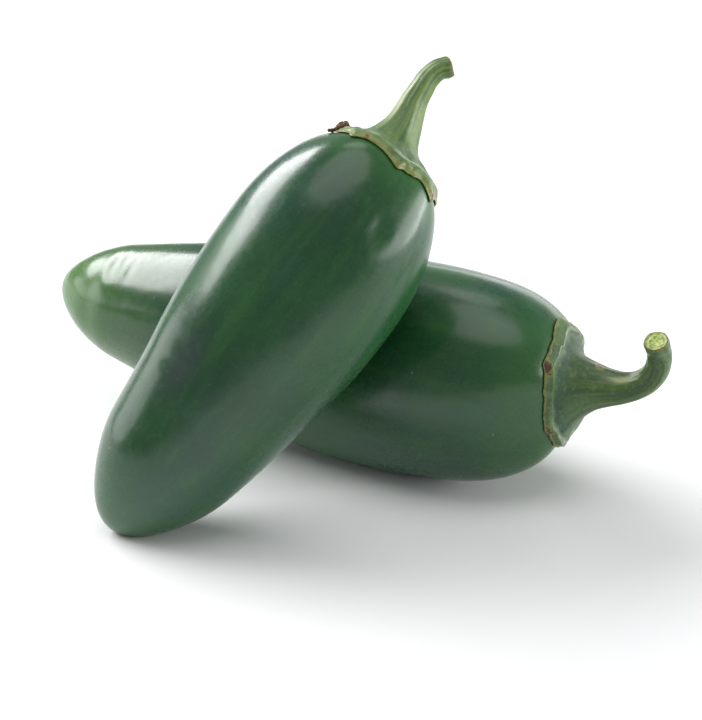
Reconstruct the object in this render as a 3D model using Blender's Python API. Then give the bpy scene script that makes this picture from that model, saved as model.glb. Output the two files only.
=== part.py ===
"""Two fresh jalapeno peppers, one leaning over the other, for Blender 4.5.

Run it with blender --background --python part.py, or from Blender's text editor. Units are metres and +Z is
up. The rear pepper lies on the floor at z = 0. The front pepper stands on its blossom tip and leans on the
rear one. Each pepper is two solids: its pod, and its stem with the calyx, which grew as one piece.

A pepper is shaped in a frame of its own: the origin is the blossom tip, +Z runs to the stem, +Y is the side
that faces the other way from a viewer in front, and +X is across.
"""

import math

import bmesh
import bpy
from mathutils import Matrix, Vector

MM = 0.001

GAP = 0.35 * MM  # between a calyx and its pod, so that the solids stay apart
REST_SINK = 0.6 * MM  # how far the soft skin is pressed flat where it rests on the floor

POD_SEGMENTS = 40
POD_RINGS = 30
STEM_SEGMENTS = 28
STEM_RINGS = 18  # along the free stem
CALYX_RINGS = 6  # from the foot of the stem out to the rim
UNDERSIDE_RINGS = 5  # from the rim in to the middle of the underside

REAR = {
    "name": "rear",
    "length": 99 * MM,
    "radius": 19.9 * MM,
    "taper": 0.634,  # share of the radius lost at the blossom end
    "taper_power": 2.06,
    "tip_share": 0.135,  # share of the length in the rounded blossom tip
    "shoulder_start": 0.44,  # where along the length the shoulder begins to round in
    "shoulder_power": 3.17,  # higher is squarer
    "thickness": 0.9,  # front to back, against across
    "lobe_depth": 0.012,
    "lobe_turn": 0.6,
    "bend": (1.5 * MM, 0.4 * MM),
    "tip": (-49.6 * MM, 20.3 * MM),
    "yaw": -26.6,
    "pitch": -1.0,
    "roll": -26.5,
    "rim_radius": 10.2 * MM,
    "rim_shift": (-1.4 * MM, 0.0),
    "rim_waves": 5,
    "rim_wave": 0.35 * MM,
    "rim_thickness": 0.7 * MM,
    "stem_radii": (5.6 * MM, 2.3 * MM, 1.95 * MM),  # foot, middle, cut end
    "calyx_rise": 0.4 * MM,
    "stem_path": (
        (-1.3 * MM, 0.0, 0.8 * MM),
        (-1.65 * MM, 0.0, 3.4 * MM),
        (-1.8 * MM, 0.0, 6.0 * MM),
        (-2.1 * MM, 0.0, 8.6 * MM),
        (-2.85 * MM, -0.3 * MM, 11.0 * MM),
        (-4.1 * MM, -0.9 * MM, 13.0 * MM),
        (-5.9 * MM, -1.9 * MM, 14.3 * MM),
        (-8.3 * MM, -3.5 * MM, 14.8 * MM),
        (-10.0 * MM, -6.1 * MM, 14.7 * MM),
    ),
}

FRONT = {
    "name": "front",
    "length": 76 * MM,
    "radius": 19.6 * MM,
    "taper": 0.545,
    "taper_power": 1.31,
    "tip_share": 0.21,
    "shoulder_start": 0.4,
    "shoulder_power": 2.59,
    "thickness": 0.9,
    "lobe_depth": 0.01,
    "lobe_turn": 1.9,
    "bend": (1.3 * MM, -3.5 * MM),
    "tip": (-36.3 * MM, -37.8 * MM),
    "yaw": 23.3,
    "pitch": 49.0,
    "roll": -32.7,
    "rim_radius": 9.6 * MM,
    "rim_shift": (0.5 * MM, 0.0),
    "rim_waves": 5,
    "rim_wave": 0.3 * MM,
    "rim_thickness": 0.6 * MM,
    "stem_radii": (4.4 * MM, 2.2 * MM, 1.65 * MM),
    "calyx_rise": 0.4 * MM,
    "stem_path": (
        (-0.8 * MM, 0.0, 0.7 * MM),
        (-0.85 * MM, 0.0, 3.3 * MM),
        (-1.2 * MM, 0.0, 5.8 * MM),
        (-1.6 * MM, 0.1 * MM, 8.3 * MM),
        (-1.7 * MM, 0.1 * MM, 10.6 * MM),
        (-1.7 * MM, 0.2 * MM, 12.8 * MM),
        (-1.1 * MM, 0.3 * MM, 14.9 * MM),
        (0.2 * MM, 0.4 * MM, 16.4 * MM),
    ),
}

POD_GREEN = (0.018, 0.075, 0.022, 1.0)
STEM_GREEN = (0.11, 0.19, 0.045, 1.0)


def clear_scene():
    for item in list(bpy.data.objects):
        bpy.data.objects.remove(item, do_unlink=True)


def make_collection(name):
    collection = bpy.data.collections.new(name)
    bpy.context.scene.collection.children.link(collection)
    return collection


def make_material(name, colour, roughness):
    material = bpy.data.materials.new(name)
    material.use_nodes = True
    shader = material.node_tree.nodes["Principled BSDF"]
    shader.inputs["Base Color"].default_value = colour
    shader.inputs["Roughness"].default_value = roughness
    shader.inputs["Metallic"].default_value = 0.0
    material.diffuse_color = colour
    return material


def pod_radius(pepper, along, angle):
    """The skin's distance from the pod's axis, where along is 0 at the blossom tip and 1 at the stem."""
    taper = 1 - pepper["taper"] * (1 - along) ** pepper["taper_power"]
    tip = math.sqrt(max(0.0, 1 - (1 - min(along / pepper["tip_share"], 1)) ** 2))
    past = max(0.0, along - pepper["shoulder_start"]) / (1 - pepper["shoulder_start"])
    shoulder = max(0.0, 1 - past ** pepper["shoulder_power"]) ** (1 / pepper["shoulder_power"])
    lobes = 1 + pepper["lobe_depth"] * math.cos(3 * angle + pepper["lobe_turn"])
    return pepper["radius"] * taper * tip * shoulder * lobes


def axis_frame(pepper, along):
    """The bent axis at this share of its length, as a matrix whose +Z runs along it."""
    across, away = pepper["bend"]
    bow = 4 * along * (1 - along)
    lean = 4 * (1 - 2 * along) / pepper["length"]
    turn = Vector((0, 0, 1)).rotation_difference(Vector((across * lean, away * lean, 1)))
    place = Vector((across * bow, away * bow, along * pepper["length"]))
    return Matrix.Translation(place) @ turn.to_matrix().to_4x4()


def pod_point(pepper, along, angle):
    radius = pod_radius(pepper, along, angle)
    level = Vector((radius * math.cos(angle), radius * math.sin(angle) * pepper["thickness"], 0))
    return axis_frame(pepper, along) @ level


def shoulder_point(pepper, radius, angle):
    """The point of the pod's stem end that lies at this distance from the axis."""
    low, high = 0.7, 1.0
    for _ in range(40):
        middle = (low + high) / 2
        if pod_radius(pepper, middle, angle) > radius:
            low = middle
        else:
            high = middle
    return pod_point(pepper, high, angle)


def smooth_path(points, share):
    """A point and a direction on the smooth curve through the points, share running from 0 to 1."""
    spans = len(points) - 1
    span = min(int(share * spans), spans - 1)
    s = share * spans - span
    b, c = points[span], points[span + 1]
    a = points[span - 1] if span > 0 else 2 * b - c
    d = points[span + 2] if span + 2 <= spans else 2 * c - b
    place = 0.5 * ((2 * b) + (c - a) * s + (2 * a - 5 * b + 4 * c - d) * s**2 + (3 * (b - c) + d - a) * s**3)
    direction = 0.5 * ((c - a) + 2 * (2 * a - 5 * b + 4 * c - d) * s + 3 * (3 * (b - c) + d - a) * s**2)
    return place, direction.normalized()


def stem_radius(pepper, share):
    foot, middle, end = pepper["stem_radii"]
    flare = (foot - middle) * (1 - share) ** 4
    return middle + flare + (end - middle) * share


def stem_point(pepper, share, angle, fill=1.0):
    """A point round the stem, share running from its foot to its cut end. A fill under 1 lies inside."""
    place, direction = smooth_path([Vector(p) for p in pepper["stem_path"]], share)
    turn = Vector((0, 0, 1)).rotation_difference(direction)
    radius = stem_radius(pepper, share) * fill
    point = place + turn @ Vector((radius * math.cos(angle), radius * math.sin(angle), 0))
    return axis_frame(pepper, 1) @ point


def rim_radius(pepper, angle):
    across, away = pepper["rim_shift"]
    wave = math.cos(pepper["rim_waves"] * angle + 0.4) + 0.5 * math.cos(3 * angle + 1.1)
    shift = across * math.cos(angle) + away * math.sin(angle)
    return pepper["rim_radius"] + pepper["rim_wave"] * wave + shift


def above_shoulder(pepper, radius, angle, height):
    """A point over the pod's stem end, at this height square to the skin."""
    step = 0.1 * MM
    turn = 0.02
    inner = shoulder_point(pepper, max(radius - step, 0), angle)
    outer = shoulder_point(pepper, radius + step, angle)
    before = shoulder_point(pepper, radius + step, angle - turn)
    after = shoulder_point(pepper, radius + step, angle + turn)
    normal = (outer - inner).cross(after - before).normalized()
    return shoulder_point(pepper, radius, angle) + normal * height


def calyx_point(pepper, share, angle):
    """A point on the top of the calyx, share running from the rim to the foot of the stem."""
    rim = rim_radius(pepper, angle)
    radius = rim + (pepper["stem_radii"][0] - rim) * share
    skin = above_shoulder(pepper, radius, angle, GAP + pepper["rim_thickness"])
    up = axis_frame(pepper, 1).to_3x3() @ Vector((0, 0, pepper["calyx_rise"] * share**2.2))
    return (skin + up).lerp(stem_point(pepper, 0, angle), share**3)


def underside_point(pepper, share, angle):
    """A point under the calyx, share running from the rim to the middle, a gap above the pod."""
    return above_shoulder(pepper, rim_radius(pepper, angle) * (1 - share), angle, GAP)


def calyx_stations():
    """How each ring of the stem with its calyx is made, from the cut end to the underside."""
    stations = [lambda pepper, angle: stem_point(pepper, 1, angle, 0.6)]
    for ring in range(STEM_RINGS):
        share = 1 - ring / STEM_RINGS
        stations.append(lambda pepper, angle, s=share: stem_point(pepper, s, angle))
    for ring in range(CALYX_RINGS):
        share = 1 - ring / (CALYX_RINGS - 1)
        stations.append(lambda pepper, angle, s=share: calyx_point(pepper, s, angle))
    for ring in range(UNDERSIDE_RINGS):
        share = ring / UNDERSIDE_RINGS
        stations.append(lambda pepper, angle, s=share: underside_point(pepper, s, angle))
    return stations


def sphere_grid(segments, rings):
    """A sphere of unit radius with its poles on Z, whose rings are then moved into shape."""
    mesh = bmesh.new()
    bmesh.ops.create_uvsphere(mesh, u_segments=segments, v_segments=rings, radius=1)
    return mesh


def build_pod_mesh(pepper):
    mesh = sphere_grid(POD_SEGMENTS, POD_RINGS)
    for vertex in mesh.verts:
        along = (1 + vertex.co.z) / 2
        vertex.co = pod_point(pepper, along, math.atan2(vertex.co.y, vertex.co.x))
    return mesh


def build_stem_mesh(pepper):
    stations = calyx_stations()
    rings = len(stations) + 1
    mesh = sphere_grid(STEM_SEGMENTS, rings)
    for vertex in mesh.verts:
        ring = round(math.acos(max(-1, min(1, vertex.co.z))) / math.pi * rings)
        angle = math.atan2(vertex.co.y, vertex.co.x)
        if ring == 0:
            vertex.co = stem_point(pepper, 1, 0, 0)
        elif ring == rings:
            vertex.co = axis_frame(pepper, 1) @ Vector((0, 0, GAP))
        else:
            vertex.co = stations[ring - 1](pepper, angle)
    return mesh


def pepper_turn(pepper):
    """The rotation from a pepper's own frame to the world."""
    yaw = Matrix.Rotation(math.radians(pepper["yaw"]), 4, "Z")
    lean = Matrix.Rotation(math.radians(90 - pepper["pitch"]), 4, "Y")
    roll = Matrix.Rotation(math.radians(pepper["roll"]), 4, "Z")
    return yaw @ lean @ roll


def add_object(name, mesh, material, collection):
    data = bpy.data.meshes.new(name)
    for face in mesh.faces:
        face.smooth = True
    mesh.to_mesh(data)
    mesh.free()
    data.materials.append(material)
    item = bpy.data.objects.new(name, data)
    collection.objects.link(item)
    return item


def build_pepper(pepper, collection):
    """The pod and the stem of one pepper, resting on the floor, as two meshes in world coordinates."""
    pod = build_pod_mesh(pepper)
    stem = build_stem_mesh(pepper)
    turn = pepper_turn(pepper)
    for mesh in (pod, stem):
        mesh.transform(turn)
    lowest = min(vertex.co.z for vertex in pod.verts)
    tip_x, tip_y = pepper["tip"]
    rest = Matrix.Translation((tip_x, tip_y, -lowest - REST_SINK))
    for mesh in (pod, stem):
        mesh.transform(rest)
    for vertex in pod.verts:
        vertex.co.z = max(vertex.co.z, 0.0)
    skin = make_material(f"{pepper['name']}_pod_skin", POD_GREEN, 0.25)
    green = make_material(f"{pepper['name']}_stem_green", STEM_GREEN, 0.6)
    pod_item = add_object(f"{pepper['name']}_pod", pod, skin, collection)
    stem_item = add_object(f"{pepper['name']}_stem_with_calyx", stem, green, collection)
    return [pod_item, stem_item]


def centre_over_origin(items):
    """Moves everything so that the middle of its footprint is over the origin."""
    corners = [vertex.co for item in items for vertex in item.data.vertices]
    middle_x = (min(c.x for c in corners) + max(c.x for c in corners)) / 2
    middle_y = (min(c.y for c in corners) + max(c.y for c in corners)) / 2
    for item in items:
        item.location = (-middle_x, -middle_y, 0)


def main():
    clear_scene()
    collection = make_collection("fresh_jalapeno_peppers")
    items = []
    for pepper in (REAR, FRONT):
        items += build_pepper(pepper, collection)
    centre_over_origin(items)


main()
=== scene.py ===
"""The looks of two fresh jalapeno peppers, one leaning over the other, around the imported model.

Each pepper is shaped in a frame of its own, in metres: the origin is the blossom tip, +Z runs to the
stem, +Y is the side that faces away from a viewer in front, and +X is across. Angles run round that Z
axis, so the side at about -90 degrees faces the viewer. A matrix then takes the pepper to its place in
the row frame, and each vertex keeps its place in the pepper's own frame as an attribute, which the
materials read.
"""
import math

import bmesh
import bpy
import numpy as np
from mathutils import Matrix, Vector, noise


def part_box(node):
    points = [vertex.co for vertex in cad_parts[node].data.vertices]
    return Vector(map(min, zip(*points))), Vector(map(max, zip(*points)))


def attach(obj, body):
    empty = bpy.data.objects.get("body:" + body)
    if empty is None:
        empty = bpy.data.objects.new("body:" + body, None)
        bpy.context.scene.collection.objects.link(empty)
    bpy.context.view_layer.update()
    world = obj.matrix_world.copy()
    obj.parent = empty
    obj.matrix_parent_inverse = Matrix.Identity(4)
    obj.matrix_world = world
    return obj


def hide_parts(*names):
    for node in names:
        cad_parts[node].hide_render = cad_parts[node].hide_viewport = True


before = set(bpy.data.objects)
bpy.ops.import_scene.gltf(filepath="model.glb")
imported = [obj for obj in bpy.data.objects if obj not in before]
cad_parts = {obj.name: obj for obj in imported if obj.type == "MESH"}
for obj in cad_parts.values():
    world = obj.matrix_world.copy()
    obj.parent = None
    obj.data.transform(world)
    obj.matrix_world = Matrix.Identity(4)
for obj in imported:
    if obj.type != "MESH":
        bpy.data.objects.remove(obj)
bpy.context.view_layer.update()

MM = 0.001

GAP = 0.12 * MM  # between a calyx and its pod
REST_SINK = 0.6 * MM  # how far the soft skin is pressed flat where it rests on the floor

POD_SEGMENTS = 240
POD_RINGS = 210
STEM_SEGMENTS = 180
UNDERSIDE_RINGS = 6  # from the middle of the calyx's underside out to its rim
EDGE_RINGS = 6  # round the rim's edge
CALYX_RINGS = 44  # from the rim in to the foot of the stem
STEM_RINGS = 96  # from the foot of the stem to its cut end
CUT_RINGS = 16  # from the edge of the cut face in to its middle
FOOT_REACH = 13  # rows on each side of the corner at a stem's foot that are rounded
FOOT_PASSES = 170  # of rounding that corner

RIM_DRYNESS = 0.42  # of the rim of a calyx, where 1 is a brown scab
CUT_DRYNESS = 0.75  # of the edge of a stem's cut face
FIBRE_LENGTH = 2.5  # of a stem, in the units of the pattern of fibres that runs up it
CRUMB_DEGREES = 184  # where the withered sepal sits on the front pepper's rim
CRUMB_SEAT = 0.3 * MM  # over the skin
CRUMB_VOXEL = 0.09 * MM

# The lumps of the withered sepal: (along the rim, out from it, up from it, radius).
CRUMB_LUMPS = (
    (0.0, -0.8 * MM, 0.5 * MM, 0.80 * MM),
    (0.8 * MM, -1.1 * MM, 0.6 * MM, 0.62 * MM),
    (-0.4 * MM, -1.5 * MM, 0.6 * MM, 0.60 * MM),
    (0.1 * MM, 0.1 * MM, 0.2 * MM, 0.40 * MM),
    (0.2 * MM, 0.7 * MM, 0.1 * MM, 0.36 * MM),
    (0.1 * MM, 1.2 * MM, 0.15 * MM, 0.32 * MM),
)

# How the parts of a pepper's look are written down. Angles and their half widths are in degrees.
#   dent: (share of the pod's length from the blossom tip, angle, half length, half width, depth)
#   grey mark, partly bruised skin and partly a painted highlight: (share of the pod's length from the
#   blossom tip, angle, half length, half width)
#   lobe of the rim: (angle, half width, reach)
#   scab on the calyx: (angle, half width, first share, last share), with shares from the rim to the stem
#   scar on the stem: (share of the stem from its foot, angle, half length as a share, half width)
#   band of painted light on the stem: as a scar, and then how pale its painted highlight is, or how dark
#       its painted shade if it is under 0
REAR = {
    "name": "rear",
    "length": 99 * MM,
    "radius": 19.9 * MM,
    "taper": 0.634,  # share of the radius lost at the blossom end
    "taper_power": 2.06,
    "tip_share": 0.135,  # share of the length in the rounded blossom tip
    "shoulder_start": 0.44,  # where along the length the shoulder begins to round in
    "shoulder_power": 3.17,  # higher is squarer
    "thickness": 0.9,  # front to back, against across
    "lobe_depth": 0.012,  # of the three flats round the pod, as a share of its radius
    "lobe_turn": 0.6,
    "bend": (1.5 * MM, 0.4 * MM),  # how far the axis bows across and away
    "yaw": -26.6,
    "pitch": -1.0,
    "roll": -26.5,
    "rim_radius": 9.9 * MM,
    "rim_shift": (-1.4 * MM, 0.0),  # of the rim's middle from the axis, across and away
    "rim_waves": 5,
    "rim_wave": 0.35 * MM,
    "rim_thickness": 0.7 * MM,
    "stem_radii": (5.6 * MM, 2.3 * MM, 1.95 * MM),  # foot, middle, cut end
    "calyx_rise": 0.4 * MM,  # of the calyx towards the foot of the stem
    "stem_path": (  # from the middle of the pod's stem end to the cut end
        (-1.3 * MM, 0.0, 0.8 * MM),
        (-1.65 * MM, 0.0, 3.4 * MM),
        (-1.8 * MM, 0.0, 6.0 * MM),
        (-2.1 * MM, 0.0, 8.6 * MM),
        (-2.85 * MM, -0.3 * MM, 11.0 * MM),
        (-4.1 * MM, -0.9 * MM, 13.0 * MM),
        (-5.9 * MM, -1.9 * MM, 14.3 * MM),
        (-8.3 * MM, -3.5 * MM, 14.8 * MM),
        (-10.0 * MM, -6.1 * MM, 14.7 * MM),
    ),
    "dents": (
        (0.10, -86, 2.0 * MM, 8.0 * MM, 0.26 * MM),
        (0.135, -122, 0.9 * MM, 3.0 * MM, 0.16 * MM),
        (0.155, -128, 0.8 * MM, 2.6 * MM, 0.14 * MM),
        (0.175, -118, 0.8 * MM, 2.2 * MM, 0.12 * MM),
        (0.70, -112, 7.0 * MM, 5.0 * MM, 0.35 * MM),
        (0.955, -55, 4.0 * MM, 9.0 * MM, 0.5 * MM),
    ),
    "furrow_depth": 0.55 * MM,
    "furrow_turn": 0.9,
    "rim_lobes": (
        (12, 14, 0.8 * MM),
        (164, 14, -0.6 * MM),
        (-169, 9, 0.5 * MM),
        (-140, 25, -1.0 * MM),
        (-42, 10, 0.5 * MM),
        (-76, 24, -1.0 * MM),
        (-110, 11, 0.6 * MM),
    ),
    "scabs": ((-108, 6, 0.0, 0.2), (-40, 6, 0.0, 0.2), (178, 7, 0.0, 0.2), (64, 6, 0.0, 0.25)),
    "scar": (0.20, -160, 0.045, 20),
    # bands of painted highlight (values over 0) and painted shade (values under 0) along the stem
    "painted_light_bands": ((0.42, -112, 0.16, 14, 1.0), (0.68, -142, 0.13, 16, 0.8), (0.50, -48, 0.35, 24, -0.9)),
    "bruise_and_highlight": None,
    "ribs": 0.045,  # as a share of the stem's radius
    "collar": 0.85,  # how high the calyx's collar stands, and how deep the groove inside it is
    "dry_edge": 0.05,  # share of the calyx that is dried at its rim
    "seed": 3.7,
    "tip_fade": 30 * MM,  # how far the paler green of the blossom tip reaches
    "tip_light": 0.85,
    "stem_colour": (0.080, 0.148, 0.036, 1),
    "stem_deep": (0.034, 0.076, 0.027, 1),
}

FRONT = {
    "name": "front",
    "length": 76 * MM,
    "radius": 19.6 * MM,
    "taper": 0.545,
    "taper_power": 1.31,
    "tip_share": 0.21,
    "shoulder_start": 0.4,
    "shoulder_power": 2.59,
    "thickness": 0.9,
    "lobe_depth": 0.01,
    "lobe_turn": 1.9,
    "bend": (1.3 * MM, -3.5 * MM),
    "yaw": 23.3,
    "pitch": 49.0,
    "roll": -32.7,
    "rim_radius": 9.6 * MM,
    "rim_shift": (0.5 * MM, 0.0),
    "rim_waves": 5,
    "rim_wave": 0.3 * MM,
    "rim_thickness": 0.6 * MM,
    "stem_radii": (4.4 * MM, 2.2 * MM, 1.65 * MM),
    "calyx_rise": 0.4 * MM,
    "stem_path": (
        (-0.8 * MM, 0.0, 0.7 * MM),
        (-0.85 * MM, 0.0, 3.3 * MM),
        (-1.2 * MM, 0.0, 5.8 * MM),
        (-1.6 * MM, 0.1 * MM, 8.3 * MM),
        (-1.7 * MM, 0.1 * MM, 10.6 * MM),
        (-1.7 * MM, 0.2 * MM, 12.8 * MM),
        (-1.1 * MM, 0.3 * MM, 14.9 * MM),
        (0.2 * MM, 0.4 * MM, 16.4 * MM),
    ),
    "dents": (
        (0.83, -69, 2.2 * MM, 1.8 * MM, 0.3 * MM),
        (0.80, -38, 5.0 * MM, 1.0 * MM, 0.25 * MM),
        (0.42, -118, 2.0 * MM, 4.0 * MM, 0.18 * MM),
        (0.38, -122, 1.6 * MM, 3.6 * MM, 0.16 * MM),
    ),
    "furrow_depth": 0.45 * MM,
    "furrow_turn": 2.2,
    "rim_lobes": ((-36, 17, 1.5 * MM), (182, 12, 0.5 * MM), (-78, 9, 0.3 * MM), (-128, 12, 0.7 * MM)),
    "scabs": ((-34, 5, 0.0, 0.16), (182, 8, 0.0, 0.3), (-118, 4, 0.02, 0.16), (95, 6, 0.0, 0.25)),
    "scar": None,
    # bands of painted highlight (values over 0) and painted shade (values under 0) along the stem
    "painted_light_bands": ((0.42, -143, 0.32, 13, 1.1), (0.25, -104, 0.30, 20, -1.0), (0.75, -100, 0.2, 16, -0.6)),
    # a grey mark, partly bruised skin and partly a painted highlight
    "bruise_and_highlight": (0.40, -119, 5.5 * MM, 2.6 * MM),
    "ribs": 0.12,
    "collar": 0.45,
    "dry_edge": 0.12,
    "seed": 11.3,
    "tip_fade": 16 * MM,
    "tip_light": 0.2,
    "stem_colour": (0.140, 0.230, 0.042, 1),
    "stem_deep": (0.055, 0.112, 0.030, 1),
}

CAMERA_ELEVATION = 24.0  # degrees above the floor, looking along +Y
CAMERA_LENS = 110.0
CAMERA_SENSOR = 36.0
CAMERA_DISTANCE = 385.8 * MM
CAMERA_ASIDE = 0.55 * MM  # from the middle of the footprint
CAMERA_AWAY = 11.4 * MM
CAMERA_HEIGHT = 13.3 * MM

FLOOR_HALF = 4.0  # metres
FLOOR_DROP = 0.05 * MM  # so that the floor and the flattened patches under the pods don't share a plane
FLOOR_GREYS = ((0.86, 0.86, 0.865, 1), (0.89, 0.89, 0.89, 1))
WORLD_COLOUR = (0.95, 0.98, 1.0, 1)
WORLD_STRENGTH = 0.31
LIGHT_AIM = (0, 0, 30 * MM)

# The softboxes: (name, azimuth in degrees from +X towards +Y, elevation, distance, width, height,
# brightness).
SOFTBOXES = (
    ("key_left", 146, 36, 1.1, 1.20, 0.50, 10.6),
    ("overhead", -60, 82, 1.2, 1.20, 1.00, 1.6),
    ("card_right", -5, 12, 1.0, 1.20, 0.40, 4.5),
    ("card_left", 168, 9, 1.2, 0.90, 0.34, 3.0),
    ("card_back", 62, 12, 1.4, 1.40, 0.45, 2.2),
    ("card_low", 15, 5, 0.75, 0.90, 0.11, 6.5),
    ("overhead_back", 78, 60, 1.3, 0.55, 0.40, 1.9),
)


# ---------------------------------------------------------------- the shape of a pod


def turned(vectors, directions):
    """The vectors, turned by the rotation that takes +Z to each unit direction."""
    axis = np.cross((0.0, 0.0, 1.0), directions)
    spin = np.cross(axis, vectors)
    return vectors + spin + np.cross(axis, spin) / (1 + directions[..., 2:3])


def unit(vectors):
    """The vectors at a length of 1."""
    return vectors / np.linalg.norm(vectors, axis=-1, keepdims=True)


def stack(*parts):
    """Arrays of X, Y and Z as one array of points."""
    return np.stack(np.broadcast_arrays(*parts), axis=-1).astype(float)


def smooth_step(value, low, high):
    """0 up to the low value and 1 from the high one, with a smooth rise between."""
    share = np.clip((value - low) / (high - low), 0, 1)
    return share * share * (3 - 2 * share)


def angle_between(angle, other):
    """The signed turn from other to angle, in radians within a half turn."""
    return (angle - other + math.pi) % (2 * math.pi) - math.pi


def soft_patch(up, aside):
    """1 where both offsets are 0, falling smoothly to almost nothing where either is 2."""
    return np.exp(-(up**2) - aside**2)


def soft_noise(points, size, seed):
    """Smooth noise between -1 and 1 whose features are about this size."""
    flat = points.reshape(-1, 3) / size + seed
    values = np.array([noise.noise(Vector(p)) for p in flat])
    return values.reshape(points.shape[:-1])


def pod_radius(pepper, along, angle):
    """The skin's distance from the pod's axis, where along is 0 at the blossom tip and 1 at the stem."""
    along = np.clip(along, 0, 1)
    taper = 1 - pepper["taper"] * (1 - along) ** pepper["taper_power"]
    tip = np.sqrt(np.clip(1 - (1 - np.minimum(along / pepper["tip_share"], 1)) ** 2, 0, None))
    past = np.clip(along - pepper["shoulder_start"], 0, None) / (1 - pepper["shoulder_start"])
    shoulder = np.clip(1 - past ** pepper["shoulder_power"], 0, None) ** (1 / pepper["shoulder_power"])
    lobes = 1 + pepper["lobe_depth"] * np.cos(3 * angle + pepper["lobe_turn"])
    return pepper["radius"] * taper * tip * shoulder * lobes


def on_axis(pepper, along, offset):
    """Points given by their offset from the bent axis at this share of its length."""
    across, away = pepper["bend"]
    bow = 4 * along * (1 - along)
    lean = 4 * (1 - 2 * along) / pepper["length"]
    direction = unit(stack(across * lean, away * lean, np.ones_like(lean)))
    place = stack(across * bow, away * bow, along * pepper["length"])
    return place + turned(offset, direction)


def plain_pod_point(pepper, along, angle):
    """A point of the pod's plain form, the one that the CAD model has."""
    radius = pod_radius(pepper, along, angle)
    offset = stack(radius * np.cos(angle), radius * np.sin(angle) * pepper["thickness"], 0 * radius)
    return on_axis(pepper, along, offset)


def skin_normal(pepper, along, angle):
    """The direction square to the pod's plain form."""
    step, turn = 0.002, 0.01
    below = plain_pod_point(pepper, np.clip(along - step, 0.0005, 0.9995), angle)
    above = plain_pod_point(pepper, np.clip(along + step, 0.0005, 0.9995), angle)
    before = plain_pod_point(pepper, along, angle - turn)
    after = plain_pod_point(pepper, along, angle + turn)
    return unit(np.cross(after - before, above - below))


def dent_relief(pepper, along, angle):
    """The dents in the skin."""
    total = np.zeros_like(along)
    for place, degrees, half_length, half_width, depth in pepper["dents"]:
        up = (along - place) * pepper["length"] / half_length
        radius = pod_radius(pepper, np.array(place), np.array(math.radians(degrees)))
        aside = angle_between(angle, math.radians(degrees)) * radius / half_width
        total -= depth * soft_patch(up, aside)
    return total


def furrow_relief(pepper, along, angle):
    """Shallow furrows between the shoulders, deepest where they run in under the calyx."""
    turn = pepper["furrow_turn"]
    wave = np.cos(4 * angle + turn) + 0.5 * np.cos(3 * angle + 2 * turn)
    reach = smooth_step(along, 0.72, 0.95) * (1 - 0.6 * smooth_step(along, 0.96, 1.0))
    return pepper["furrow_depth"] * wave * reach


def skin_relief(pepper, along, angle, points):
    """How far the real, uneven skin stands out from the plain form."""
    seed = pepper["seed"]
    swells = 0.30 * MM * soft_noise(points, 17 * MM, seed)
    waves = 0.09 * MM * soft_noise(points * (1, 1, 0.6), 6 * MM, seed + 5)
    pores = 0.012 * MM * soft_noise(points, 1.6 * MM, seed + 9)
    marks = dent_relief(pepper, along, angle) + furrow_relief(pepper, along, angle)
    return swells + waves + pores + marks


def skin_point(pepper, along, angle, height=0.0):
    """A point of the skin, or at this height over it."""
    plain = plain_pod_point(pepper, along, angle)
    relief = skin_relief(pepper, along, angle, plain)
    return plain + skin_normal(pepper, along, angle) * (relief + height)[..., None]


# ---------------------------------------------------------------- the shape of a stem with its calyx


def shoulder_along(pepper, radius, angle):
    """How far along the pod its stem end has come in to this distance from the axis, found by halving."""
    low = np.full_like(radius, 0.7)
    high = np.ones_like(radius)
    for _ in range(40):
        middle = (low + high) / 2
        outside = pod_radius(pepper, middle, angle) > radius
        low = np.where(outside, middle, low)
        high = np.where(outside, high, middle)
    return high


def over_shoulder(pepper, radius, angle, height):
    """A point over the pod's stem end, at this height square to the skin."""
    along = shoulder_along(pepper, np.maximum(radius, 0.2 * MM), angle)
    return skin_point(pepper, along, angle, height)


def smooth_path(points, share):
    """Places and directions on the smooth curve through the points, share running from 0 to 1."""
    points = np.array(points)
    spans = len(points) - 1
    ends = np.vstack([2 * points[0] - points[1], points, 2 * points[-1] - points[-2]])
    span = np.minimum((share * spans).astype(int), spans - 1)
    s = (share * spans - span)[..., None]
    a, b, c, d = (ends[span + step] for step in range(4))
    square = 2 * a - 5 * b + 4 * c - d
    cube = 3 * (b - c) + d - a
    place = 0.5 * (2 * b + (c - a) * s + square * s**2 + cube * s**3)
    direction = 0.5 * ((c - a) + 2 * square * s + 3 * cube * s**2)
    return place, unit(direction)


def stem_radius(pepper, share):
    """The stem's radius, share running from its flared foot to its cut end."""
    foot, middle, end = pepper["stem_radii"]
    return middle + (foot - middle) * (1 - share) ** 4 + (end - middle) * share


def stem_ribs(pepper, share, angle):
    """The ribs that run up a stem, as a share of its radius."""
    turn = pepper["seed"] + 0.5 * share
    ribs = 1 - np.abs(np.sin(2.5 * (angle + turn)))
    fine = 0.01 * np.cos(13 * angle + 2 * turn + 2 * share)
    return pepper["ribs"] * (ribs - 0.36) + fine


def stem_point(pepper, share, angle, fill=1.0, lift=0.0):
    """A point round the stem, share running from its foot to its cut end. A fill under 1 lies inside."""
    place, direction = smooth_path(pepper["stem_path"], share)
    swell = 1 + stem_ribs(pepper, share, angle) * (0.25 + 0.75 * smooth_step(share, 0, 0.25))
    swell = swell + 0.07 * np.exp(-(((share - 0.965) / 0.035) ** 2))
    radius = stem_radius(pepper, share) * fill * swell
    offset = stack(radius * np.cos(angle), radius * np.sin(angle), 0 * radius + lift)
    return on_axis(pepper, np.ones_like(share), place + turned(offset, direction))


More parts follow.
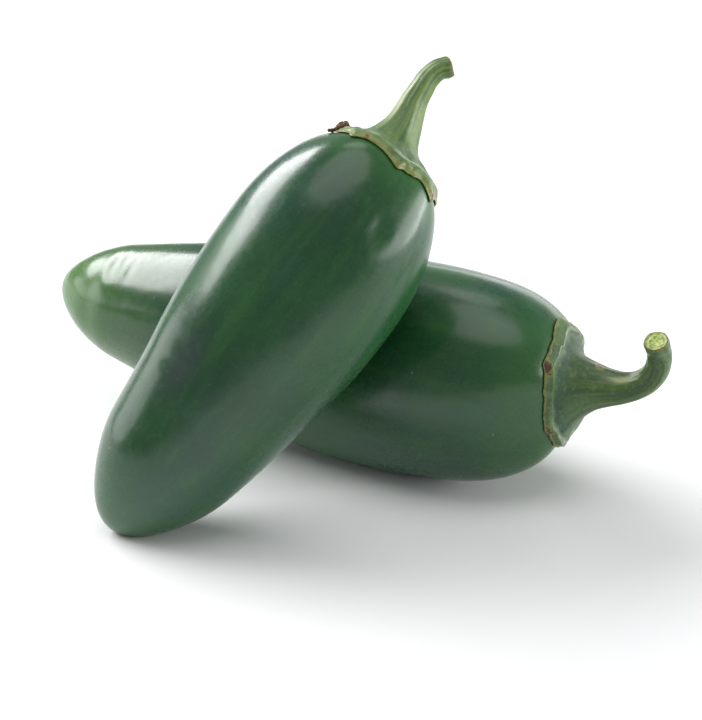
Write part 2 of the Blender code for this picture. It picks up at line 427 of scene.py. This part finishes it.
def rim_radius(pepper, angle):
    """How far the wavy, lobed and ragged rim of the calyx stands from the axis."""
    across, away = pepper["rim_shift"]
    wave = np.cos(pepper["rim_waves"] * angle + 0.4) + 0.5 * np.cos(3 * angle + 1.1)
    shift = across * np.cos(angle) + away * np.sin(angle)
    radius = pepper["rim_radius"] + pepper["rim_wave"] * wave + shift
    for degrees, half_width, reach in pepper["rim_lobes"]:
        aside = np.abs(angle_between(angle, math.radians(degrees))) / math.radians(half_width)
        radius = radius + reach * np.clip(1 - aside, 0, 1) ** 1.4
    circle = stack(np.cos(angle), np.sin(angle), 0 * angle)
    coarse = 0.34 * soft_noise(circle, 0.30, pepper["seed"])
    fine = 0.15 * soft_noise(circle, 0.06, pepper["seed"])
    return radius + (coarse + fine) * MM


def calyx_relief(pepper, share, angle):
    """The collar round the calyx, the groove inside it, and the folds that run up to the stem."""
    circle = stack(np.cos(angle), np.sin(angle), 2 * share)
    wander = 0.05 * soft_noise(circle, 0.35, pepper["seed"] + 2)
    collar = pepper["collar"] * 0.45 * np.exp(-(((share - 0.22 - wander) / 0.12) ** 2))
    groove = pepper["collar"] * -0.34 * np.exp(-(((share - 0.47 - wander) / 0.12) ** 2))
    folds = 0.16 * np.cos(11 * angle + 3 * np.cos(2 * angle)) * smooth_step(share, 0.1, 0.5)
    crumple = 0.28 * soft_noise(circle, 0.22, pepper["seed"] + 4)
    crumple = crumple + 0.1 * soft_noise(circle, 0.07, pepper["seed"])
    return (collar + groove + (folds + crumple) * (1 - share)) * MM


def calyx_point(pepper, share, angle):
    """A point on the top of the calyx, share running from the rim to the foot of the stem."""
    rim = rim_radius(pepper, angle)
    radius = rim + (pepper["stem_radii"][0] - rim) * share
    thickness = pepper["rim_thickness"] * (0.4 + 0.6 * smooth_step(share, 0, 0.2))
    height = GAP + thickness + np.maximum(calyx_relief(pepper, share, angle), -0.7 * thickness)
    skin = over_shoulder(pepper, radius, angle, height)
    up = stack(0 * share, 0 * share, pepper["calyx_rise"] * share**2.2)
    top = np.ones_like(share)
    start = skin + on_axis(pepper, top, up) - on_axis(pepper, top, 0 * up)
    blend = (share**3)[..., None]
    return start * (1 - blend) + stem_point(pepper, 0 * share, angle) * blend


def edge_point(pepper, share, angle):
    """A point round the rim's rounded edge, share running from the underside to the top."""
    bulge = 0.12 * MM * np.sin(math.pi * share)
    height = GAP + 0.4 * pepper["rim_thickness"] * share
    return over_shoulder(pepper, rim_radius(pepper, angle) + bulge, angle, height)


def underside_point(pepper, share, angle):
    """A point under the calyx, share running from the middle to the rim."""
    return over_shoulder(pepper, rim_radius(pepper, angle) * share, angle, 0 * share + GAP)


def cut_point(pepper, share, angle):
    """A point on the cut face, which has a lip and a ring. The share runs from its edge to its middle."""
    circle = stack(np.cos(angle) * (1 - share), np.sin(angle) * (1 - share), 0 * share)
    fine = 0.10 * soft_noise(circle, 0.18, pepper["seed"])
    coarse = 0.08 * soft_noise(circle, 0.5, pepper["seed"])
    ring = 0.16 * np.exp(-(((share - 0.45) / 0.12) ** 2)) - 0.22 * smooth_step(share, 0.08, 0.3)
    lip = 0.12 * smooth_step(share, 0, 0.06)
    lift = (fine + coarse + ring + lip) * MM
    return stem_point(pepper, 0 * share + 1, angle, 1 - share, lift)


# ---------------------------------------------------------------- meshes


def grid(shares, segments):
    """Shares down the rows and angles along them, as two arrays."""
    angle = np.arange(segments) * 2 * math.pi / segments
    return np.meshgrid(shares, angle, indexing="ij")


def closed_mesh(name, rows):
    """A closed mesh of rows of points, with a pole at the middle of the first row and of the last."""
    count, segments = rows.shape[:2]
    points = np.concatenate([rows[0].mean(0)[None], rows.reshape(-1, 3), rows[-1].mean(0)[None]])
    top = len(points) - 1
    faces = []
    for s in range(segments):
        after = (s + 1) % segments
        faces.append((0, 1 + after, 1 + s))
        last = 1 + (count - 1) * segments
        faces.append((top, last + s, last + after))
        for r in range(count - 1):
            low = 1 + r * segments
            high = low + segments
            faces.append((low + s, low + after, high + after, high + s))
    data = bpy.data.meshes.new(name)
    data.from_pydata(points.tolist(), [], faces)
    data.polygons.foreach_set("use_smooth", [True] * len(faces))
    return data


def add_values(data, name, rows, kind="FLOAT"):
    """Stores one number or vector for each vertex, for the material to read."""
    flat = rows.reshape(-1, *rows.shape[2:])
    values = np.concatenate([rows[0].mean(0)[None], flat, rows[-1].mean(0)[None]])
    made = data.attributes.new(name, kind, "POINT")
    made.data.foreach_set("value" if kind == "FLOAT" else "vector", values.astype(np.float32).ravel())


def pod_grid():
    """Where the pod's points lie: shares of its length, closer together at both ends, and angles."""
    shares = (1 - np.cos(np.linspace(0, math.pi, POD_RINGS + 2)[1:-1])) / 2
    return grid(shares, POD_SEGMENTS)


def pod_rows(pepper, plain=False):
    """Rows of the skin from the blossom tip to the stem end, or of the pod's plain form."""
    along, angle = pod_grid()
    if plain:
        return plain_pod_point(pepper, along, angle)
    return skin_point(pepper, along, angle)


def bruise_and_highlight_rows(pepper):
    """How strongly each point of the pod takes the grey mark, partly bruised skin and partly a painted
    highlight.
    """
    along, angle = pod_grid()
    if not pepper["bruise_and_highlight"]:
        return 0 * along
    place, degrees, half_length, half_width = pepper["bruise_and_highlight"]
    up = (along - place) * pepper["length"] / half_length
    aside = angle_between(angle, math.radians(degrees)) * pod_radius(pepper, along, angle) / half_width
    return soft_patch(up, aside)


def soft_foot(rows):
    """Rounds the corner where a stem rises from its calyx, by drawing rows towards their neighbours."""
    foot = UNDERSIDE_RINGS + EDGE_RINGS + CALYX_RINGS - 1
    number = np.arange(len(rows))
    pull = 0.5 * np.exp(-(((number - foot) / FOOT_REACH) ** 2))[:, None, None]
    for _ in range(FOOT_PASSES):
        between = (np.roll(rows, 1, axis=0) + np.roll(rows, -1, axis=0)) / 2
        rows = rows + pull * (between - rows)
    return rows


def stem_rows(pepper):
    """Rows from the middle of the underside out to the rim, in over the calyx and up to the cut end."""
    bands = (
        (underside_point, np.linspace(0.05, 1, UNDERSIDE_RINGS)),
        (edge_point, np.linspace(0, 1, EDGE_RINGS + 2)[1:-1]),
        (calyx_point, np.linspace(0, 1, CALYX_RINGS)),
        (stem_point, np.linspace(0, 1, STEM_RINGS)[1:]),
        (cut_point, np.linspace(0, 0.97, CUT_RINGS)[1:]),
    )
    rows, notes = [], []
    for place, shares in bands:
        share, angle = grid(shares, STEM_SEGMENTS)
        rows.append(place(pepper, share, angle))
        notes.append(stem_notes(pepper, place, share, angle))
    joined_notes = {key: np.concatenate([note[key] for note in notes]) for key in notes[0]}
    return soft_foot(np.concatenate(rows)), joined_notes


def stem_patch(share, angle, middle, degrees, half_length, half_width):
    """A soft-edged patch on the stem, 1 at its middle."""
    aside = angle_between(angle, math.radians(degrees)) / math.radians(half_width)
    return soft_patch((share - middle) / half_length, aside)


def calyx_notes(pepper, share, angle):
    """Where the calyx is dried, along its rim and at its scabs, where its groove lies, which is darkened
    with painted shade, and where its collar lies.
    """
    dried = RIM_DRYNESS * np.exp(-((share / pepper["dry_edge"]) ** 2))
    for degrees, half_width, first, last in pepper["scabs"]:
        aside = angle_between(angle, math.radians(degrees)) / math.radians(half_width)
        begun = smooth_step(share, first - 0.04, first + 0.01)
        ended = smooth_step(share, last * 0.6, last)
        dried = np.maximum(dried, soft_patch(0, aside) * begun * (1 - ended))
    # painted shade: how strongly the groove of the calyx is darkened
    groove = smooth_step(share, 0.3, 0.5) * (1 - 0.6 * smooth_step(share, 0.6, 1.0))
    collar = 1 - smooth_step(share, 0.25, 0.42)
    return {"length": share - 1, "dried": dried, "groove": groove, "collar": collar}


def free_stem_notes(pepper, share, angle):
    """Where the stem is scarred, dried at its cut end, pale with painted highlight, dark with painted
    shade, and darkened with painted shade near the groove below it.
    """
    dried = CUT_DRYNESS * smooth_step(share, 0.985, 1.0)
    if pepper["scar"]:
        dried = np.maximum(dried, stem_patch(share, angle, *pepper["scar"]))
    # bands of painted highlight where the value is over 0 and of painted shade where it is under 0
    painted_light_band = 0 * share
    for *place, value in pepper["painted_light_bands"]:
        painted_light_band = painted_light_band + value * stem_patch(share, angle, *place)
    # painted shade at the foot of the stem, next to the groove
    groove = 0.4 * (1 - smooth_step(share, 0, 0.3))
    return {"length": share * FIBRE_LENGTH, "dried": dried, "painted_light_band": painted_light_band, "groove": groove}


def stem_notes(pepper, place, share, angle):
    """What the material needs to know about a band of rows: fibres, dried edges, the painted highlight
    and shade, the groove with its painted shade, and the cut face.
    """
    zero = 0 * share
    names = ("length", "dried", "painted_light_band", "groove", "collar", "pith", "radial")
    notes = {name: zero for name in names}
    if place in (edge_point, underside_point):
        notes |= {"length": zero - 1, "dried": zero + RIM_DRYNESS}
    if place is calyx_point:
        notes |= calyx_notes(pepper, share, angle)
    if place is stem_point:
        notes |= free_stem_notes(pepper, share, angle)
    if place is cut_point:
        pith = 1 - smooth_step(share, 0.9, 1.2)
        notes |= {"length": zero + FIBRE_LENGTH, "pith": pith, "radial": share}
    # the painted shade in the groove is darker where the collar stands higher
    notes["groove"] = notes["groove"] * (0.3 + 0.7 * pepper["collar"])
    notes["fibre"] = stack(np.cos(angle), np.sin(angle), notes.pop("length"))
    return notes


# ---------------------------------------------------------------- materials


def add_node(tree, kind, inputs=None, **settings):
    """A node with its settings and inputs. An input is a number, a colour or another node's socket."""
    made = tree.nodes.new(kind)
    for name, value in settings.items():
        setattr(made, name, value)
    for name, value in (inputs or {}).items():
        if isinstance(value, bpy.types.NodeSocket):
            tree.links.new(value, made.inputs[name])
        else:
            made.inputs[name].default_value = value
    return made


def noise_value(tree, vector, scale, detail=2.0, roughness=0.5):
    """Noise from 0 to 1 with this many features a metre, or a unit of the vector."""
    inputs = {"Vector": vector, "Scale": scale, "Detail": detail, "Roughness": roughness}
    return add_node(tree, "ShaderNodeTexNoise", inputs).outputs["Fac"]


def stretched(tree, vector, scale):
    """The vector scaled along each axis, so that a scale under 1 draws a pattern out."""
    return add_node(tree, "ShaderNodeMapping", {"Vector": vector, "Scale": scale}).outputs["Vector"]


def ranged(tree, value, low, high, start=0.0, end=1.0):
    """Start where the value is low and end where it is high, with a smooth change between."""
    inputs = {"Value": value, "From Min": low, "From Max": high, "To Min": start, "To Max": end}
    made = add_node(tree, "ShaderNodeMapRange", inputs, interpolation_type="SMOOTHSTEP")
    return made.outputs["Result"]


def computed(tree, operation, first, second):
    """The sum or product of two values."""
    made = add_node(tree, "ShaderNodeMath", {0: first, 1: second}, operation=operation)
    return made.outputs["Value"]


def scaled(tree, first, second):
    """One value times another."""
    return computed(tree, "MULTIPLY", first, second)


def summed(tree, first, second):
    """One value plus another."""
    return computed(tree, "ADD", first, second)


def mixed(tree, factor, first, second):
    """One colour fading to another by a factor."""
    inputs = {0: factor, 6: first, 7: second}
    return add_node(tree, "ShaderNodeMix", inputs, data_type="RGBA").outputs[2]


def attribute(tree, name, output="Fac"):
    """A value that add_values stored on the mesh."""
    made = add_node(tree, "ShaderNodeAttribute", attribute_name=name, attribute_type="GEOMETRY")
    return made.outputs[output]


def bumped(tree, height, distance, strength, normal=None):
    """Fine relief of this height, over another normal if one is given."""
    inputs = {"Height": height, "Distance": distance, "Strength": strength}
    if normal:
        inputs["Normal"] = normal
    return add_node(tree, "ShaderNodeBump", inputs).outputs["Normal"]


def new_material(name, settings):
    """A material whose Principled shader has these settings, and its tree."""
    material = bpy.data.materials.new(name)
    material.use_nodes = True
    shader = material.node_tree.nodes["Principled BSDF"]
    for key, value in settings.items():
        shader.inputs[key].default_value = value
    return material, material.node_tree, shader


def connect(tree, shader, **sockets):
    """Links sockets to the shader's inputs, base_color to Base Color and so on."""
    for name, socket in sockets.items():
        tree.links.new(socket, shader.inputs[name.replace("_", " ").title()])


DEEP_GREEN = (0.0085, 0.0530, 0.0180, 1)
MID_GREEN = (0.0140, 0.0860, 0.0240, 1)
BLUE_GREEN = (0.0120, 0.0620, 0.0460, 1)
LEAF_GREEN = (0.0360, 0.1350, 0.0240, 1)
TIP_GREEN = (0.0600, 0.1650, 0.0220, 1)
SPECK_GREEN = (0.2000, 0.3000, 0.1500, 1)
# partly bruised skin, partly a painted highlight
BRUISE_AND_HIGHLIGHT_GREY = (0.0420, 0.0480, 0.0560, 1)


def skin_specks(tree, place):
    """A few small pale specks, as how strongly each point is one."""
    cells = add_node(tree, "ShaderNodeTexVoronoi", {"Vector": place, "Scale": 420.0, "Randomness": 1.0})
    dot = ranged(tree, cells.outputs["Distance"], 0.10, 0.05)
    chosen = add_node(tree, "ShaderNodeSeparateColor", {"Color": cells.outputs["Color"]}).outputs["Red"]
    return scaled(tree, dot, ranged(tree, chosen, 0.90, 0.92, 0.0, 0.7))


def skin_colour(pepper, tree, place, cloud, fine):
    """Deep green clouded with blue and leaf green, finely streaked, and paler towards both ends."""
    blue = noise_value(tree, stretched(tree, place, (1.0, 1.0, 0.55)), 58, 2)
    streaks = noise_value(tree, stretched(tree, place, (1.0, 1.0, 0.06)), 520, 3, 0.6)
    height = add_node(tree, "ShaderNodeSeparateXYZ", {"Vector": place}).outputs["Z"]
    near_tip = ranged(tree, height, pepper["tip_fade"], 0.0, 0.0, pepper["tip_light"])
    near_stem = ranged(tree, height, pepper["length"] * 0.86, pepper["length"], 0.0, 0.45)
    colour = mixed(tree, ranged(tree, cloud, 0.35, 0.68), DEEP_GREEN, MID_GREEN)
    colour = mixed(tree, ranged(tree, blue, 0.46, 0.72, 0.0, 0.75), colour, BLUE_GREEN)
    colour = mixed(tree, ranged(tree, streaks, 0.45, 0.75, 0.0, 0.3), colour, LEAF_GREEN)
    colour = mixed(tree, ranged(tree, fine, 0.40, 0.80, 0.0, 0.12), colour, LEAF_GREEN)
    colour = mixed(tree, near_tip, colour, TIP_GREEN)
    return mixed(tree, near_stem, colour, LEAF_GREEN)


def pod_material(pepper):
    """Taut waxy skin with clouds, streaks, pores, pale specks and a grey mark that is partly bruised skin
    and partly a painted highlight.
    """
    settings = {"Specular IOR Level": 0.5, "Coat Weight": 0.25, "Coat Roughness": 0.13, "Coat IOR": 1.45}
    material, tree, shader = new_material(f"{pepper['name']}_pod_skin", settings)
    place = attribute(tree, "place", "Vector")
    cloud = noise_value(tree, place, 42, 3)
    fine = noise_value(tree, place, 900, 3, 0.6)
    colour = skin_colour(pepper, tree, place, cloud, fine)
    colour = mixed(tree, skin_specks(tree, place), colour, SPECK_GREEN)
    # a grey mark, partly bruised skin and partly a painted highlight
    bruise_and_highlight = scaled(tree, attribute(tree, "bruise_and_highlight"), ranged(tree, fine, 0.3, 0.7, 0.45, 0.9))
    colour = mixed(tree, bruise_and_highlight, colour, BRUISE_AND_HIGHLIGHT_GREY)
    cloudy = ranged(tree, cloud, 0.3, 0.7, 0.20, 0.30)
    rough = summed(tree, cloudy, ranged(tree, fine, 0.3, 0.8, 0.0, 0.08))
    peel = bumped(tree, noise_value(tree, place, 260, 2), 0.05 * MM, 0.35)
    pores = bumped(tree, fine, 0.016 * MM, 0.5, peel)
    connect(tree, shader, base_color=colour, roughness=rough, normal=pores)
    return material


STEM_PALE = (0.2700, 0.3700, 0.1150, 1)
# painted shade for the groove of the calyx and the foot of the stem
GROOVE_SHADE_GREEN = (0.0298, 0.0805, 0.0455, 1)
COLLAR_GREEN = (0.1190, 0.1960, 0.0875, 1)
BLOOM_GREY = (0.2625, 0.3500, 0.2275, 1)
# painted highlight for the pale bands along the stem
PAINTED_HIGHLIGHT_PALE = (0.5200, 0.5800, 0.3000, 1)
DRY_YELLOW = (0.2500, 0.2500, 0.0620, 1)
DRY_BROWN = (0.1050, 0.0525, 0.0298, 1)
DRY_TAN = (0.2200, 0.1300, 0.0750, 1)
PITH_PALE = (0.6650, 0.7350, 0.2450, 1)
PITH_GREEN = (0.2625, 0.3675, 0.0788, 1)


def tissue_colour(pepper, tree, fibre, thin_streaks, speckle, patches):
    """Olive streaked along its fibres with pale and deep green, darkened with painted shade in the
    groove, with bloom, and with bands of painted highlight and painted shade over it.
    """
    long_streaks = noise_value(tree, stretched(tree, fibre, (1.0, 1.0, 0.16)), 3.4, 3, 0.55)
    collar = scaled(tree, attribute(tree, "collar"), ranged(tree, patches, 0.35, 0.65, 0.25, 0.8))
    painted_light_band = scaled(tree, attribute(tree, "painted_light_band"), ranged(tree, thin_streaks, 0.3, 0.7, 0.6, 1.2))
    deep = pepper["stem_deep"]
    colour = mixed(tree, ranged(tree, long_streaks, 0.34, 0.66), deep, pepper["stem_colour"])
    colour = mixed(tree, ranged(tree, thin_streaks, 0.48, 0.78, 0.0, 0.28), colour, STEM_PALE)
    # painted shade: darkens the groove and the foot of the stem
    colour = mixed(tree, scaled(tree, attribute(tree, "groove"), 0.85), colour, GROOVE_SHADE_GREEN)
    colour = mixed(tree, collar, colour, COLLAR_GREEN)
    colour = mixed(tree, ranged(tree, speckle, 0.50, 0.72, 0.0, 0.24), colour, BLOOM_GREY)
    colour = mixed(tree, ranged(tree, patches, 0.55, 0.75, 0.0, 0.35), colour, STEM_PALE)
    # painted highlight: the pale bands along the stem
    colour = mixed(tree, ranged(tree, painted_light_band, 0.05, 1.0, 0.0, 0.7), colour, PAINTED_HIGHLIGHT_PALE)
    # painted shade: the dark bands take the stem's deep green
    return mixed(tree, ranged(tree, painted_light_band, -0.05, -1.0, 0.0, 0.7), colour, deep)


def dried_colour(tree, place, colour):
    """The colour, turned yellow and then brown where the tissue is dried."""
    crumbs = noise_value(tree, place, 1100, 4, 0.7)
    dried = scaled(tree, attribute(tree, "dried"), ranged(tree, crumbs, 0.30, 0.68, 0.35, 1.9))
    colour = mixed(tree, ranged(tree, dried, 0.12, 0.60), colour, DRY_YELLOW)
    return mixed(tree, ranged(tree, dried, 0.48, 0.95), colour, DRY_BROWN)


def pith_colour(tree, speckle, patches):
    """The cut face: a brown ring at its edge round a pale pith."""
    pith = mixed(tree, ranged(tree, speckle, 0.35, 0.65), PITH_GREEN, PITH_PALE)
    inside = ranged(tree, attribute(tree, "radial"), 0.02, 0.20)
    return mixed(tree, scaled(tree, inside, ranged(tree, patches, 0.2, 0.4)), DRY_BROWN, pith)


def stem_material(pepper):
    """Fibrous stalk with dried edges and a pale cut face, rougher in the groove and darkened there with
    painted shade, with bands of painted highlight and painted shade along it.
    """
    settings = {"Specular IOR Level": 0.4, "Sheen Weight": 0.06, "Sheen Roughness": 0.5}
    material, tree, shader = new_material(f"{pepper['name']}_stem_green", settings)
    place = attribute(tree, "place", "Vector")
    fibre = attribute(tree, "fibre", "Vector")
    thin_streaks = noise_value(tree, stretched(tree, fibre, (1.0, 1.0, 0.10)), 22.0, 3, 0.65)
    speckle = noise_value(tree, place, 1700, 2, 0.7)
    patches = noise_value(tree, place, 320, 3, 0.55)
    colour = tissue_colour(pepper, tree, fibre, thin_streaks, speckle, patches)
    colour = dried_colour(tree, place, colour)
    colour = mixed(tree, attribute(tree, "pith"), colour, pith_colour(tree, speckle, patches))
    patchy = ranged(tree, patches, 0.3, 0.7, 0.28, 0.44)
    rough = summed(tree, patchy, scaled(tree, attribute(tree, "groove"), 0.3))
    height = summed(tree, thin_streaks, scaled(tree, speckle, 0.6))
    grain = bumped(tree, height, 0.09 * MM, 0.35)
    connect(tree, shader, base_color=colour, roughness=rough, normal=grain)
    return material


def crumb_material():
    """Dry brown tissue of a withered sepal."""
    material, tree, shader = new_material("dried_crumb", {"Specular IOR Level": 0.25})
    place = add_node(tree, "ShaderNodeTexCoord").outputs["Object"]
    grain = noise_value(tree, place, 1600, 4, 0.7)
    colour = mixed(tree, ranged(tree, grain, 0.35, 0.65), DRY_BROWN, DRY_TAN)
    rough = ranged(tree, grain, 0.3, 0.7, 0.65, 0.85)
    connect(tree, shader, base_color=colour, roughness=rough, normal=bumped(tree, grain, 0.15 * MM, 0.8))
    return material


def floor_material():
    """A plain pale floor with a faint cloud in its grey."""
    material, tree, shader = new_material("studio_floor", {"Specular IOR Level": 0.2})
    place = add_node(tree, "ShaderNodeTexCoord").outputs["Object"]
    cloud = noise_value(tree, place, 3.0, 2)
    colour = mixed(tree, cloud, *FLOOR_GREYS)
    connect(tree, shader, base_color=colour, roughness=ranged(tree, cloud, 0.3, 0.7, 0.55, 0.65))
    return material


# ---------------------------------------------------------------- putting a pepper together


def pepper_turn(pepper):
    """How a pepper is rolled about its own axis, leant over and turned about the upright."""
    yaw = Matrix.Rotation(math.radians(pepper["yaw"]), 4, "Z")
    lean = Matrix.Rotation(math.radians(90 - pepper["pitch"]), 4, "Y")
    roll = Matrix.Rotation(math.radians(pepper["roll"]), 4, "Z")
    return yaw @ lean @ roll


def moved(points, matrix):
    """The points with the matrix applied to each."""
    turn = np.array(matrix)
    return points @ turn[:3, :3].T + turn[:3, 3]


def pepper_matrix(pepper):
    """Takes a pepper to its place, its plain pod over the CAD pod and pressed a little into the floor."""
    turn = pepper_turn(pepper)
    points = moved(pod_rows(pepper, plain=True).reshape(-1, 3), turn)
    low, high = points.min(0), points.max(0)
    cad_low, cad_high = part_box(f"{pepper['name']}_pod")
    across = (cad_low.x + cad_high.x - low[0] - high[0]) / 2
    away = (cad_low.y + cad_high.y - low[1] - high[1]) / 2
    return Matrix.Translation((across, away, -low[2] - REST_SINK)) @ turn


def pressed_on_floor(points, matrix):
    """The points with anything below the floor pressed up to it."""
    world = moved(points, matrix)
    world[..., 2] = np.maximum(world[..., 2], 0)
    return moved(world, matrix.inverted())


def add_piece(name, data, material, matrix, node):
    """An object in the row frame that rides the root body and stands in for a CAD node."""
    piece = bpy.data.objects.new(name, data)
    bpy.context.scene.collection.objects.link(piece)
    data.transform(matrix)
    data.materials.append(material)
    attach(piece, "root")
    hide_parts(node)
    return piece


def crumb_axes(pepper, degrees):
    """Where the withered sepal sits on the rim, and the directions along the rim, out from it and up."""
    angle = np.array([math.radians(degrees)])
    radius = rim_radius(pepper, angle)
    seat = over_shoulder(pepper, radius, angle, np.array([CRUMB_SEAT]))[0]
    outer = over_shoulder(pepper, radius + MM, angle, np.array([CRUMB_SEAT]))[0]
    above = over_shoulder(pepper, radius, angle, np.array([CRUMB_SEAT + MM]))[0]
    out, up = unit(outer - seat), unit(above - seat)
    return seat, np.cross(out, up), out, up


def crumb_mesh(pepper, degrees):
    """The lumps of the withered sepal, each with knobs of its own."""
    seat, aside, out, up = crumb_axes(pepper, degrees)
    mesh = bmesh.new()
    for shift, reach, rise, size in CRUMB_LUMPS:
        middle = seat + aside * shift + out * reach + up * rise
        place = Matrix.Translation(middle)
        lump = bmesh.ops.create_icosphere(mesh, subdivisions=3, radius=size, matrix=place)
        for vertex in lump["verts"]:
            knobs = 0.30 * noise.noise(vertex.co / (0.45 * MM))
            knobs += 0.15 * noise.noise(vertex.co / (0.2 * MM))
            vertex.co += (vertex.co - Vector(middle)) * knobs
    data = bpy.data.meshes.new(f"{pepper['name']}_calyx_crumb")
    mesh.to_mesh(data)
    mesh.free()
    return data


def build_crumb(pepper, degrees):
    """The little withered sepal that clings to the rim of a calyx, its lumps run together."""
    data = crumb_mesh(pepper, degrees)
    node = f"{pepper['name']}_stem_with_calyx"
    piece = add_piece(data.name, data, crumb_material(), pepper_matrix(pepper), node)
    joined = piece.modifiers.new("joined", "REMESH")
    joined.mode = "VOXEL"
    joined.voxel_size = CRUMB_VOXEL
    joined.use_smooth_shade = True


def build_pepper(pepper):
    """The pod, and the stem with its calyx, at their places."""
    name = pepper["name"]
    matrix = pepper_matrix(pepper)
    rows = pressed_on_floor(pod_rows(pepper), matrix)
    pod = closed_mesh(f"{name}_pod_skin", rows)
    add_values(pod, "place", rows, "FLOAT_VECTOR")
    add_values(pod, "bruise_and_highlight", bruise_and_highlight_rows(pepper))
    add_piece(f"{name}_pod_skin", pod, pod_material(pepper), matrix, f"{name}_pod")
    rows, notes = stem_rows(pepper)
    stem = closed_mesh(f"{name}_stem_and_calyx", rows)
    add_values(stem, "place", rows, "FLOAT_VECTOR")
    for key, values in notes.items():
        add_values(stem, key, values, "FLOAT_VECTOR" if key == "fibre" else "FLOAT")
    node = f"{name}_stem_with_calyx"
    add_piece(f"{name}_stem_and_calyx", stem, stem_material(pepper), matrix, node)


# ---------------------------------------------------------------- the studio


def point_at(item, place, target):
    """Puts a camera or light at a place and aims it."""
    item.location = place
    item.rotation_mode = "QUATERNION"
    item.rotation_quaternion = (Vector(target) - Vector(place)).to_track_quat("-Z", "Y")


def add_camera():
    camera = bpy.data.objects.new("camera", bpy.data.cameras.new("camera"))
    bpy.context.scene.collection.objects.link(camera)
    camera.data.lens = CAMERA_LENS
    camera.data.sensor_width = CAMERA_SENSOR
    target = Vector((CAMERA_ASIDE, CAMERA_AWAY, CAMERA_HEIGHT))
    up = math.radians(CAMERA_ELEVATION)
    back = Vector((0, -math.cos(up), math.sin(up)))
    point_at(camera, target + back * CAMERA_DISTANCE, target)
    bpy.context.scene.camera = camera


def add_floor():
    data = bpy.data.meshes.new("studio_floor")
    corners = [(-FLOOR_HALF, -FLOOR_HALF, 0), (FLOOR_HALF, -FLOOR_HALF, 0)]
    corners += [(FLOOR_HALF, FLOOR_HALF, 0), (-FLOOR_HALF, FLOOR_HALF, 0)]
    data.from_pydata(corners, [], [(0, 1, 2, 3)])
    floor = bpy.data.objects.new("studio_floor", data)
    floor.location = (0, 0, -FLOOR_DROP)
    bpy.context.scene.collection.objects.link(floor)
    data.materials.append(floor_material())


def add_softbox(name, azimuth, elevation, distance, width, height, brightness):
    """An oval light that looks equally bright at any size, for the energy goes with its area."""
    data = bpy.data.lights.new(name, "AREA")
    data.shape = "ELLIPSE"
    data.size = width
    data.size_y = height
    data.energy = brightness * math.pi**2 * width * height / 4
    light = bpy.data.objects.new(name, data)
    bpy.context.scene.collection.objects.link(light)
    turn, up = math.radians(azimuth), math.radians(elevation)
    out = Vector((math.cos(turn) * math.cos(up), math.sin(turn) * math.cos(up), math.sin(up)))
    middle = Vector(LIGHT_AIM)
    point_at(light, middle + out * distance, middle)


def add_world():
    world = bpy.data.worlds.new("studio")
    world.use_nodes = True
    background = world.node_tree.nodes["Background"]
    background.inputs["Color"].default_value = WORLD_COLOUR
    background.inputs["Strength"].default_value = WORLD_STRENGTH
    bpy.context.scene.world = world


def main():
    for pepper in (REAR, FRONT):
        build_pepper(pepper)
    build_crumb(FRONT, CRUMB_DEGREES)
    add_floor()
    add_camera()
    for softbox in SOFTBOXES:
        add_softbox(*softbox)
    add_world()
    bpy.context.scene.view_settings.view_transform = "Standard"


main()
